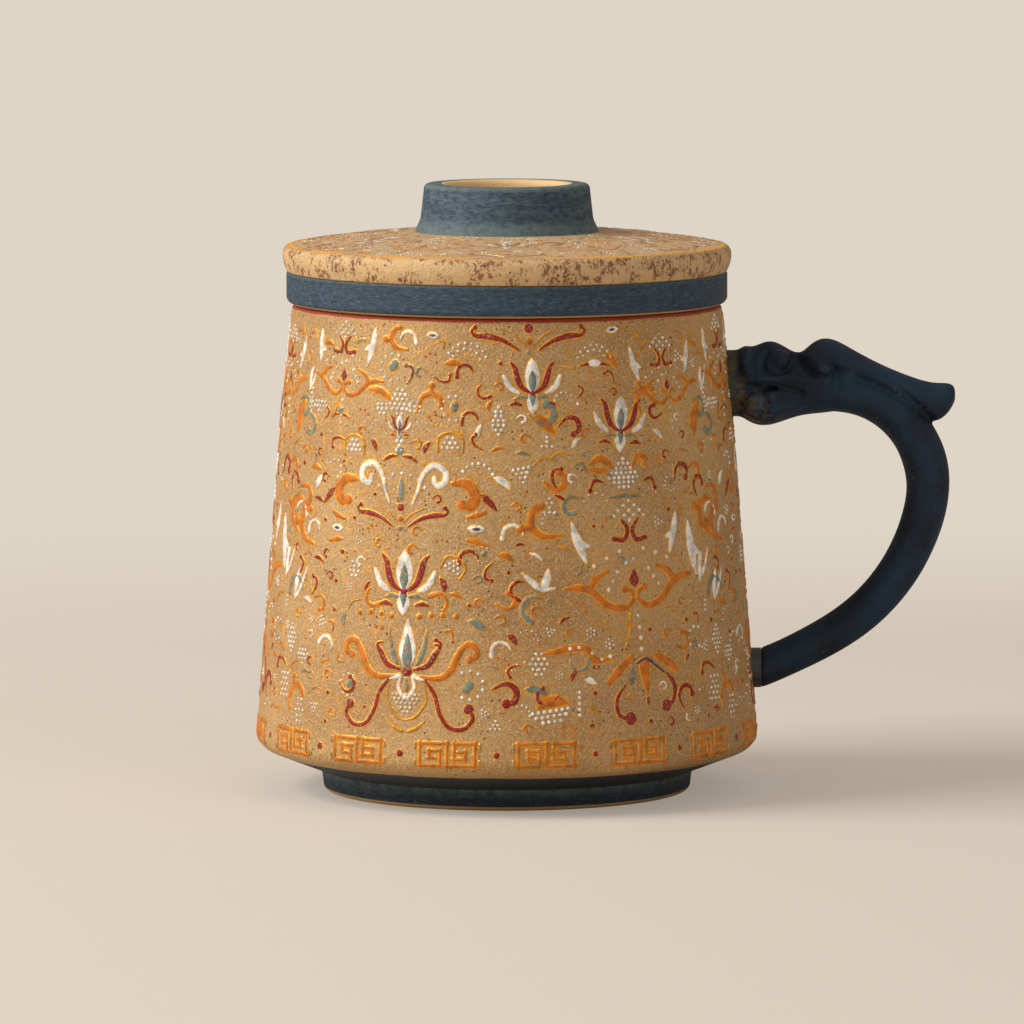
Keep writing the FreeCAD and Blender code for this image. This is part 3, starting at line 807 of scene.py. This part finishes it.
# Motif, angle and height, then size, tilt and side unless they are 1, 0 and 1
side_layout = (
    (scrolls, 5.7, 84.6, 0.95),
    (lotus, 6.5, 73.2, 0.93),
    (lotus, 29.5, 66.3, 0.96, -4),
    (comma("teal", 1.1), 5.5, 69.6, 1.15, 178, -1),
    (comma("red", 1.05), 12.8, 67.4, 1.0, 8),
    (leaf("orange"), 9.5, 68.0, 1.7, -38),
    (eye[:2], 28.4, 83.8, 0.8, 8),
    (eye[:2], -19.5, 83.0, 0.8),
    (figure, 43.6, 78.6, 0.78),
    (figure, -47.0, 80.6, 0.78),
    (kite, 34.7, 77.7, 0.8, 6),
    (kite, 53.3, 78.4, 0.75, -4, -1),
    (kite, -56.6, 80.1, 0.75, -6),
    (kite, -37.4, 80.7, 0.85, -2, -1),
    (basin, 45.3, 72.0, 0.62, 4),
    (basin, -46.4, 73.4, 0.68, -2),
    (bead_flower, 23.0, 78.1, 0.95),
    (leaf("orange"), 27.9, 78.6, 1.2, -50),
    (sprig, 36.3, 72.9, 1.1, 20),
    (hook("red"), 27.3, 76.0, 0.7, 60),
    (comma("red"), 42.6, 69.0, 0.75, 170),
    (comma("teal", 0.9), 54.6, 70.4, 1.0, -20),
    (pearls((1, 2, 1, 2, 2, 2, 1), 0.9, 2.6, 0.27), 60.5, 70.7, 1.0, 6),
    (wings, 60.3, 74.3, 0.8),
    (leaf("white"), 17.3, 64.8, 0.8, 50),
    (leaf("white"), 41.0, 65.6, 0.9, -40),
    (pearls((1, 1, 3), 0.9, 1.0), 10.0, 64.7),
    (hook("red"), 18.9, 73.3, 0.6),
    (pearls((1,)), 18.1, 71.3),
    (pearls((1, 2, 2, 3, 3, 2, 1), 0.9, 2.6, 0.34), -2.0, 68.3),
    (arch("red"), -6.1, 73.3, 0.7, 120),
    (leaf("orange", 1.2), -4.4, 71.3, 0.6, 70),
    (leaf("orange"), -13.4, 78.3, 1.1, -6),
    (arch("red"), -11.0, 77.2, 0.8, 10),
    (pearl_arc(3.6, 20, 150, 8), -10.4, 78.2),
    (pearl_arc(2.6, 20, 150, 6), -10.4, 78.2),
    (hook("red"), -16.3, 75.5, 0.8, -70),
    (sprig, -19.8, 72.8, 1.1, -10),
    (bud, -13.4, 70.6, 1.1, 20),
    (arch("red"), -9.5, 69.1, 0.8, 10),
    (framed_pearls, -14.1, 64.7),
    (leaf("white", 1.2), -6.9, 66.9, 0.75, 75),
    (hook("red"), -7.7, 64.8, 0.8, 10, -1),
    (bud, -30.6, 77.3, 1.2),
    (hook("purple"), -25.4, 76.4, 0.9, 20),
    (leaf("orange", 0.6), -33.6, 72.9, 1.8, -18),
    (pearls((2, 3, 4, 5, 4, 2), 0.95, 2.2, 0.34), -27.9, 71.3),
    (pearls((3, 3, 2), 0.9, 0.6), -33.0, 70.3),
    (pearls((2, 3, 3), 0.9, 0.6), -23.6, 70.9),
    (lotus, -27.7, 66.6, 0.42),
    (pearls((1, 2, 1, 2), 0.9, 0.6, 0.36), -27.6, 64.9),
    (sprig, -30.9, 81.9, 1.0, 90),
    (arch("white"), -26.2, 82.6, 0.85, 0, -1),
    (comma("teal", 1.1), -60.4, 68.4, 1.0, -60),
    (leaf("orange"), -64.8, 67.7, 2.0, 70),
    (hook("red"), -47.4, 64.2, 0.9, 130),
    (pearls((4, 5, 2), 0.9, 1.0, 0.28), -55.0, 69.5),
    (hook("red"), -51.7, 68.6, 0.6),
    (crescents, -46.8, 68.4, 0.7),
    (horns, -26.6, 53.8),
    (scrolls, -26.6, 53.6, 0.84),
    (eye, -45.4, 49.1, 0.9, -4, -1),
    (eye, -7.3, 50.0),
    (lotus, -25.0, 38.9, 1.1),
    (leaf("red", 1.4), -15.1, 40.4, 0.9, -70),
    (arch("orange"), -15.7, 37.6, 0.9, -60),
    (framed_pearls, -12.6, 43.6, 0.9, -30),
    (pearls((2, 3, 3, 2), 0.9, 1.0), -39.2, 42.5),
    (leaf("red"), -35.1, 39.6, 0.7, 60),
    (arch("orange"), -33.7, 37.4, 0.9, 120),
    (comma("red", 0.9), -66.0, 54.2, 0.9, 80),
    (comma("orange"), -62.0, 55.4, 1.1, -30),
    (leaf("white", 1.3), -53.4, 56.8, 1.0, 55),
    (pearl_arc(1.6, -60, 140, 6), -47.4, 59.2),
    (kite, -69.2, 45.4, 1.25),
    (wings, -59.5, 38.5, 1.1, -6),
    (arch("white"), -54.4, 48.9, 0.95),
    (sprig, -59.8, 48.8, 1.5, 80),
    (hook("red"), -52.5, 38.8, 0.9, 10),
    (comma("orange", 0.7), -52.4, 36.6, 0.8, -20),
    (dot_row, -24.4, 34.7),
    (leaf("teal", 1.3), -6.7, 33.6, 1.2, -30),
    (leaf("teal", 1.3), -41.6, 33.8, 1.0, 80),
    (pearl_arc(2.6, 20, 150, 7), -7.2, 58.4, 1.1),
    (arch("red"), -9.2, 45.2, 0.95),
    (hook("red"), -4.5, 42.6, 0.9, 190),
    (bud, -5.6, 45.6, 0.7),
    (framed_pearls, -41.2, 63.6),
    (crescents, -27.3, 61.8),
    (leaf("red", 1.3), -20.2, 63.9, 0.8, 60),
    (leaf("red", 1.3), -34.8, 63.9, 0.8, -60),
    (bouquet, 29.9, 58.3, 0.98),
    (comma("red", 0.9), 45.6, 57.2, 1.0, 40),
    (comma("orange", 0.8), 50.6, 59.0, 0.9, -10),
    (bud, 44.3, 56.9, 0.7),
    (pearls((4, 3, 2, 1), 0.9, 1.5), 3.9, 58.9, 1.0, 10, -1),
    (comma("orange", 1.2), 9.0, 58.2, 1.0, 176, -1),
    (hook("red"), 11.9, 58.6, 1.1, -20, -1),
    (comma("teal", 0.9), 18.6, 55.2, 1.0, 30, -1),
    (leaf("white", 1.2), -0.8, 58.0, 1.2, -35),
    (pearls((1, 2, 1, 3), 0.9, 1.2, 0.26), 10.4, 54.0),
    (leaf("red", 0.7), 13.3, 55.2, 0.9, -35),
    (figure, 31.0, 49.3),
    (kite, 17.6, 47.5, 1.0, 10),
    (kite, 44.0, 48.4, 0.95, -6, -1),
    (basin, 31.9, 37.9, 1.0, 3),
    (moth, 8.0, 40.7, 1.0, 4),
    (wings, 54.5, 42.1, 1.0, -4),
    (sprig, 6.6, 50.3, 1.5, 100),
    (arch("white"), 1.3, 49.6),
    (arch("white"), 59.6, 51.8, 0.95, 0, -1),
    (sprig, 54.9, 51.4, 1.4, 60),
    (leaf("red", 0.8), 3.2, 47.4, 0.6),
    (leaf("orange", 1.2), -0.2, 45.3, 0.95, -20),
    (arch("red"), 2.3, 39.6, 0.9, 70),
    (comma("orange", 0.8), -2.6, 37.2, 0.9, 190, -1),
    (arch("teal"), 5.4, 36.5, 1.2, 60),
    (arch("teal"), 59.2, 38.4, 1.3),
    (hook("red"), 61.1, 41.6, 0.9),
    (pearls((1, 1, 1), 0.95, 0.8, 0.26), 54.6, 35.2),
    (pearl_arm, 16.6, 28.6, 1.0, -4),
    (arch("teal"), 17.0, 26.5, 0.9, 170),
    (pearls((1,)), 21.0, 26.1),
    (leaf("red", 1.5), 21.0, 26.1, 0.5),
    (pearls((2, 3, 4, 3, 2), 1.0, 1.8, 0.34), 7.4, 26.8),
    (hook("red"), 1.3, 26.0, 0.8, 150),
    (leaf("red", 1.2), 15.6, 24.9, 0.8, 55),
    (comma("red", 0.75), 12.0, 21.6, 1.0, 192),
    (leaf("orange", 1.1), 10.5, 20.2, 1.9, 8),
    (leaf("teal", 1.1), 6.9, 22.4, 1.3, -14),
    (leaf("white", 1.4), 19.6, 23.7, 0.8, -20),
    (pearls((7, 6, 4), 1.05, 0.8, 0.36), 10.1, 18.0, 1.0, 8),
    (pearls((1, 1, 1, 1, 1), 1.15, 2.0, 0.36), 16.8, 19.9),
    (arch("white"), -1.6, 29.6, 0.95, 10),
    (leaf("red", 1.5), 1.4, 31.2, 0.8, -50),
    (comma("red", 1.1), -3.3, 22.6, 1.15, -14),
    (fan, 33.8, 23.5),
    (comma("orange", 0.8), 43.0, 28.8, 0.9, 200, -1),
    (leaf("red", 1.5), 46.8, 26.6, 0.5, 60),
    (leaf("teal", 1.5), 49.6, 28.8, 0.8, 80),
    (pearls((1, 2, 3, 4, 3, 2, 1), 0.9, 2.3, 0.28), 58.8, 29.1),
    (hook("red"), 54.0, 24.6, 1.1, 110),
    (pearls((3, 2, 3, 2, 3), 1.1, 2.0), 56.6, 20.7),
    (great_lotus, -23.6, 25.3),
    (arch("white"), -47.1, 29.2, 0.95, -30),
    (comma("red", 0.75), -42.2, 22.6, 0.9, 170, -1),
    (bud, -39.2, 22.3),
    (bud, -8.6, 23.2, 1.3, 180),
    (pearl_arc(1.7, 60, 300, 7), -69.9, 29.9, 1.1),
    (pearls((3, 4, 3, 1), 0.9, 1.2, 0.28), -55.8, 26.1),
    (pearls((2, 2, 3, 2, 2), 1.1, 1.8, 0.28), -55.8, 16.9),
    (sprig, -58.6, 20.6, 1.2, 10),
    (comma("red", 0.8), -75.2, 17.7, 1.1, 80),
    (hook("red"), -16.2, 29.5, 0.8),
)
# The same for a panel of the lid, with radii for heights
lid_layout = (
    (scrolls, 0, 34.5, 0.62),
    (lotus, 0, 27.6, 0.66),
    (basin, 30, 31.0, 0.62),
    (bud, 30, 24.4, 0.8),
    (comma("red"), 14, 25.0, 0.9),
    (comma("orange"), -14, 25.0, 0.9, 0, -1),
    (pearls((3, 2), 0.8, 0.0, 0.24), 0, 22.6),
)


def panels(surface, inks, count, layout):
    """Like panels of motifs round the pot. Gives the points that they take up."""
    for panel in range(count):
        for motif, angle, *place in layout:
            draw(Spot(surface, inks, angle + panel * 360 / count, *place), motif)
    return [point for ink in inks.values() for point in ink.points]


def dress_side(inks):
    """The ornament on the mug's side: three panels of motifs, the fret border and small fillings."""
    taken = panels(on_side, inks, 3, side_layout)
    for i in range(border_count):
        angle = border_start + i * 360 / border_count
        fret(Spot(on_side, inks, angle, border_height))
        bead = Spot(on_side, inks, angle + 180 / border_count, border_height)
        draw(bead, (Mark("red", ((0, 0),), knob=0.65),))
    scatter(on_side, inks, taken, (border_top + 1.0, side_high.z - 3.6), room=1.25, tries=9000, most=700)
    gild(on_side, inks, (border_top, side_high.z - 2.8), count=1700)


def dress_lid(inks):
    """The ornament on the lid's top."""
    taken = panels(on_lid, inks, 6, lid_layout)
    inner, outer = knob_high.x, lid_high.x
    scatter(on_lid, inks, taken, (inner + 3.0, outer - 2.6), room=1.1, tries=5000, most=260)
    gild(on_lid, inks, (inner + 2.2, outer - 2.2), count=420)


def scatter(surface, inks, taken, heights, room, tries, most):
    """Small fillings wherever they keep their distance from what is already there."""
    tree = KDTree(len(taken))
    for i, point in enumerate(taken):
        tree.insert(point, i)
    tree.balance()
    placed = []
    for _ in range(tries):
        angle, height = rng.uniform(-180, 180), rng.uniform(*heights)
        here = surface(angle, height, 0, 0, 0) * MM
        if len(placed) >= most or tree.find(here)[2] < room * MM:
            continue
        if any((here - other).length < 2 * room * MM for other in placed):
            continue
        placed.append(here)
        size = rng.uniform(0.7, 1.0)
        small_fill(Spot(surface, inks, angle, height, size, rng.uniform(-40, 40), rng.choice((1, -1))))


def gild(surface, inks, heights, count):
    """Thin worn gilt lines that wander over the ground."""
    for _ in range(count):
        angle, height = rng.uniform(-180, 180), rng.uniform(*heights)
        spot = Spot(surface, inks, angle, height, 1.0, rng.uniform(0, 180))
        reach, bow = rng.uniform(0.5, 1.5), rng.uniform(-0.7, 0.7)
        line = through(((-reach, 0), (0, bow), (reach, 0)), 3)
        lay(spot, "gold", line, (0.1, rng.uniform(0.2, 0.42), 0.1), rng.uniform(0.03, 0.08), (), thin_shape)


def linked(name, data):
    """A new object of the scene."""
    piece = bpy.data.objects.new(name, data)
    bpy.context.scene.collection.objects.link(piece)
    return piece


def smooth_piece(name, points, faces, material):
    """A smooth-shaded mesh object. Points are metres."""
    mesh = bpy.data.meshes.new(name)
    mesh.from_pydata([tuple(point) for point in points], [], faces)
    mesh.update()
    mesh.shade_smooth()
    mesh.materials.append(material)
    return linked(name, mesh)


def lay_enamels():
    """One piece per enamel colour on the mug and on the lid."""
    for dress, body, fade_and_sheen in ((dress_side, "mug", 0.0), (dress_lid, "lid", lid_fade_and_sheen)):
        inks = {name: Enamel() for name in ENAMELS}
        dress(inks)
        for name, ink in inks.items():
            if ink.faces:
                piece = smooth_piece(f"{body}_enamel_{name}", ink.points, ink.faces, enamel(name, fade_and_sheen))
                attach(piece, body)


# Dragon handle

pad_low, pad_high = (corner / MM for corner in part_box("handle_upper_pad"))
head_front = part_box("dragon_head")[0].x / MM
head_middle = (pad_low.z + pad_high.z) / 2
voxel = 0.28  # the grain in which the handle's forms are merged

# Lines on both sides of the head and horn: points (along from the head's front, above its middle),
# half width, and rise, which is negative for a groove
head_lines = (
    (((1.6, 5.6), (1.3, 3.4), (2.4, 1.8), (4.8, 1.4), (8.2, 1.7), (11.0, 1.0)), 0.8, 0.8),
    (((5.2, 5.9), (4.3, 4.2), (5.0, 2.5), (7.2, 2.1), (9.2, 3.3), (9.6, 5.0)), 0.5, -0.75),
    (((7.5, 4.4), (7.6, 4.6)), 1.1, 0.6),
    (((3.2, 0.2), (6.4, -0.1), (8.6, -0.5), (11.2, -1.4)), 0.5, -0.75),
    (((10.2, 5.4), (11.2, 4.2), (12.4, 2.9), (13.6, 2.0), (15.4, 1.5)), 0.6, -1.0),
    (((11.2, 6.2), (12.8, 5.2), (15.6, 4.6), (18.6, 3.4)), 1.0, 0.55),
    (((14.9, 2.9), (15.1, 2.8)), 1.0, 0.7),
    (((26.4, 1.4), (28.6, -0.6), (30.6, -2.6), (32.6, -4.6), (34.6, -6.6)), 0.6, -0.6),
    (((1.6, -4.8), (4.8, -4.6), (8.4, -4.3), (12.0, -3.0)), 0.7, 0.45),
    (((4.2, -1.2), (5.2, -3.2), (4.4, -5.0)), 0.5, -0.6),
)
# Places that are smoothed, where two forms run into each other: along, above and radius
blends = ((18.8, 0.8, 5.0), (-0.4, 8.0, 3.4), (-0.4, -7.0, 3.4), (-0.4, 3.0, 2.2), (-0.4, -2.0, 2.2))
# Balls in both cheeks: along, above, radius and distance from the middle. The first is the pearl in
# the mouth's corner, the second fills the notch between head, bow and horn.
balls = ((2.6, -3.2, 2.0, 4.3), (18.9, 0.9, 2.2, 2.2))
melt_strength = 1.6  # smooths fully in the inner part of a radius, and not at all beyond it
root_depth = 1.2  # how far the root reaches into the mug's wall
line_cell = 2.5  # at least the reach of a line
least_facing = 0.12  # the part of a vertex's normal across the handle, from which it is carved


def merged_copy(name, parts):
    """One mesh object that holds copies of CAD nodes, each moved along X by millimetres."""
    shape = bmesh.new()
    for node, shift in parts:
        start = len(shape.verts)
        shape.from_mesh(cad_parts[node].data)
        shape.verts.ensure_lookup_table()
        for vertex in shape.verts[start:]:
            vertex.co.x += shift * MM
    mesh = bpy.data.meshes.new(name)
    shape.to_mesh(mesh)
    shape.free()
    return linked(name, mesh)


def settle(piece):
    """Replaces a piece's mesh by the result of its modifiers."""
    graph = bpy.context.evaluated_depsgraph_get()
    mesh = bpy.data.meshes.new_from_object(piece.evaluated_get(graph))
    piece.modifiers.clear()
    piece.data = mesh


def soften(piece, factor, rounds, group=""):
    """Smooths a piece, or only the vertices of a group."""
    smooth = piece.modifiers.new("soften", "SMOOTH")
    smooth.factor = factor
    smooth.iterations = rounds
    smooth.vertex_group = group
    settle(piece)


def add_balls(mesh):
    """Adds the balls on both sides of a mesh."""
    shape = bmesh.new()
    shape.from_mesh(mesh)
    for along, above, radius, across in balls:
        for side in (-1, 1):
            made = bmesh.ops.create_icosphere(shape, subdivisions=3, radius=radius * MM)
            centre = Vector((head_front + along, side * across, head_middle + above)) * MM
            for vertex in made["verts"]:
                vertex.co += centre
    shape.to_mesh(mesh)
    shape.free()


def carve(mesh, lines):
    """Raises or sinks the cheeks along lines, which are seen from the side."""
    cells = {}
    for points, half_width, rise in lines:
        for point in through(points):
            x, z = head_front + point[0], head_middle + point[1]
            cell = (int(x // line_cell), int(z // line_cell))
            cells.setdefault(cell, []).append((x, z, half_width, rise))
    moves = []
    for vertex in mesh.vertices:
        facing = abs(vertex.normal.y)
        if facing < least_facing:
            continue
        x, z = vertex.co.x / MM, vertex.co.z / MM
        home = (int(x // line_cell), int(z // line_cell))
        best = {}
        for i in (-1, 0, 1):
            for k in (-1, 0, 1):
                for line_x, line_z, half_width, rise in cells.get((home[0] + i, home[1] + k), ()):
                    fall = math.exp(-((x - line_x) ** 2 + (z - line_z) ** 2) / half_width**2)
                    key = (half_width, rise)
                    best[key] = max(best.get(key, 0.0), fall)
        change = sum(rise * fall for (_, rise), fall in best.items())
        if change:
            moves.append((vertex.index, vertex.normal * change * min(1.0, facing * 1.6) * MM))
    for index, move in moves:
        mesh.vertices[index].co += move


def melt(piece, places):
    """Smooths a form strongly about places, which are seen from the side."""
    group = piece.vertex_groups.new(name="melt")
    for vertex in piece.data.vertices:
        x, z = vertex.co.x / MM - head_front, vertex.co.z / MM - head_middle
        nearest = min(math.hypot(x - along, z - above) / radius for along, above, radius in places)
        weight = min(1.0, melt_strength - melt_strength * nearest)
        if weight > 0:
            group.add([vertex.index], weight, "REPLACE")
    soften(piece, factor=0.7, rounds=30, group="melt")
    piece.vertex_groups.clear()


def dragon_handle():
    """Bow, head, horn and root as one smoothed clay form with its features pressed in."""
    nodes = ("handle_bow", "dragon_head", "handle_crest", "handle_upper_pad")
    parts = [(node, 0) for node in nodes]
    piece = merged_copy("dragon_handle", [*parts, ("handle_upper_pad", -root_depth)])
    add_balls(piece.data)
    remesh = piece.modifiers.new("clay", "REMESH")
    remesh.mode = "VOXEL"
    remesh.voxel_size = voxel * MM
    soften(piece, factor=0.6, rounds=7)
    melt(piece, blends)
    carve(piece.data, head_lines)
    soften(piece, factor=0.5, rounds=2)
    piece.data.shade_smooth()
    piece.data.materials.clear()
    piece.data.materials.append(dragon_glaze())
    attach(piece, "mug")
    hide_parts(*nodes)


# Stage


def backdrop():
    """A pale floor that sweeps up into a wall. Metres."""
    half_width, front, back, sweep, top = 3.0, -2.5, 1.6, 0.7, 3.0
    steps = 24
    profile = [(front, 0.0)]
    for i in range(steps + 1):
        turn = math.radians(90 * i / steps)
        profile.append((back + sweep * math.sin(turn), sweep - sweep * math.cos(turn)))
    profile.append((back + sweep, top))
    points, faces = [], []
    for y, z in profile:
        points += [(-half_width, y, z), (half_width, y, z)]
    for i in range(len(profile) - 1):
        faces.append((2 * i, 2 * i + 1, 2 * i + 3, 2 * i + 2))
    paint = Paint("backdrop", Specular_IOR_Level=0.1)
    pale = paint.mix(paint.noise(400, 1), srgb(212, 203, 192), srgb(206, 196, 184))
    paint.finish(pale, 0.9, [(paint.noise(3), 0.05)])
    # The camera sees some of it as even light, more towards the back
    depth = paint.add("ShaderNodeSeparateXYZ", {0: paint.place}).outputs[1]
    seen = paint.add("ShaderNodeLightPath", {}).outputs["Is Camera Ray"]
    glow = paint.add("ShaderNodeEmission", {"Color": srgb(223, 213, 198)}).outputs[0]
    share = paint.times(seen, paint.math("MAXIMUM", paint.ramp(depth, 0.03, 0.5), 0.36))
    inputs = {0: share, 1: paint.shader.outputs[0], 2: glow}
    blend = paint.add("ShaderNodeMixShader", inputs).outputs[0]
    paint.feed(paint.tree.nodes["Material Output"].inputs["Surface"], blend)
    smooth_piece("backdrop", points, faces, paint.material)


def aim(holder, target, azimuth, elevation, distance):
    """Turns a lamp or camera to a target. Azimuth 0 is the photograph's, and grows to the right."""
    turn, rise = math.radians(azimuth), math.radians(elevation)
    way = Vector((math.sin(turn) * math.cos(rise), -math.cos(turn) * math.cos(rise), math.sin(rise)))
    holder.location = target + way * distance
    holder.rotation_euler = way.to_track_quat("Z", "Y").to_euler()


def softbox(name, azimuth, elevation, distance, width, height, watts, tint):
    """An area lamp that faces the mug."""
    lamp = bpy.data.lights.new(name, "AREA")
    lamp.shape = "RECTANGLE"
    lamp.size, lamp.size_y = width, height
    lamp.energy = watts
    lamp.color = tint
    aim(linked(name, lamp), Vector((0, 0, 0.05)), azimuth, elevation, distance)


def light():
    """Soft studio light from the left, with a pale room around."""
    softbox("key", -74, 34, 1.3, 0.8, 0.9, 21, (1.0, 0.975, 0.94))
    softbox("fill", 40, 24, 1.8, 1.0, 1.0, 4.6, (1.0, 0.98, 0.96))
    world = bpy.data.worlds.new("room")
    world.use_nodes = True
    room = world.node_tree.nodes["Background"].inputs
    room["Color"].default_value = srgb(236, 228, 218)
    room["Strength"].default_value = 0.5
    bpy.context.scene.world = world


def camera():
    """The photograph's view: from the front, a little above, with a long lens."""
    distance = 1.5
    picture_width = 180.7 * MM
    data = bpy.data.cameras.new("camera")
    data.sensor_width = 36
    data.lens = data.sensor_width * distance / picture_width
    holder = linked("camera", data)
    aim(holder, Vector((0.9, 0, 48.9)) * MM, 0, 5.7, distance)
    bpy.context.scene.camera = holder


def coat(material, *nodes):
    """Gives CAD nodes a material."""
    for node in nodes:
        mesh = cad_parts[node].data
        mesh.materials.clear()
        mesh.materials.append(material)


coat(ochre_ground("mug_ground", 0.02, body=True), "mug_body")
coat(bite_glaze(), "handle_lower_pad")
coat(ochre_ground("lid_ground", 0.05, edge=lid_high.x - 1.2), "lid_plate")
rim_worn = (rim_low.z, rim_high.z - 0.2)
coat(blue_glaze("rim_glaze", SLATE, SLATE_LIGHT, rim_worn, 3.0, clay_top=rim_low.z + 0.36), "infuser_rim")
knob_worn = (knob_low.z + 2.4, knob_high.z - 0.6)
coat(blue_glaze("knob_glaze", KNOB_DARK, KNOB_PALE, knob_worn, 3.0, bore=knob_inside), "lid_knob")
foot_worn = (0.0, side_low.z + 4)
coat(blue_glaze("foot_glaze", NAVY, SLATE, foot_worn, 2.0, clay_top=0.7), "foot_ring")
coat(bare_glaze(), "infuser_cup", "infuser_strainer", "lid_skirt")
lay_enamels()
dragon_handle()
backdrop()
light()
camera()
bpy.context.scene.view_settings.view_transform = "Standard"
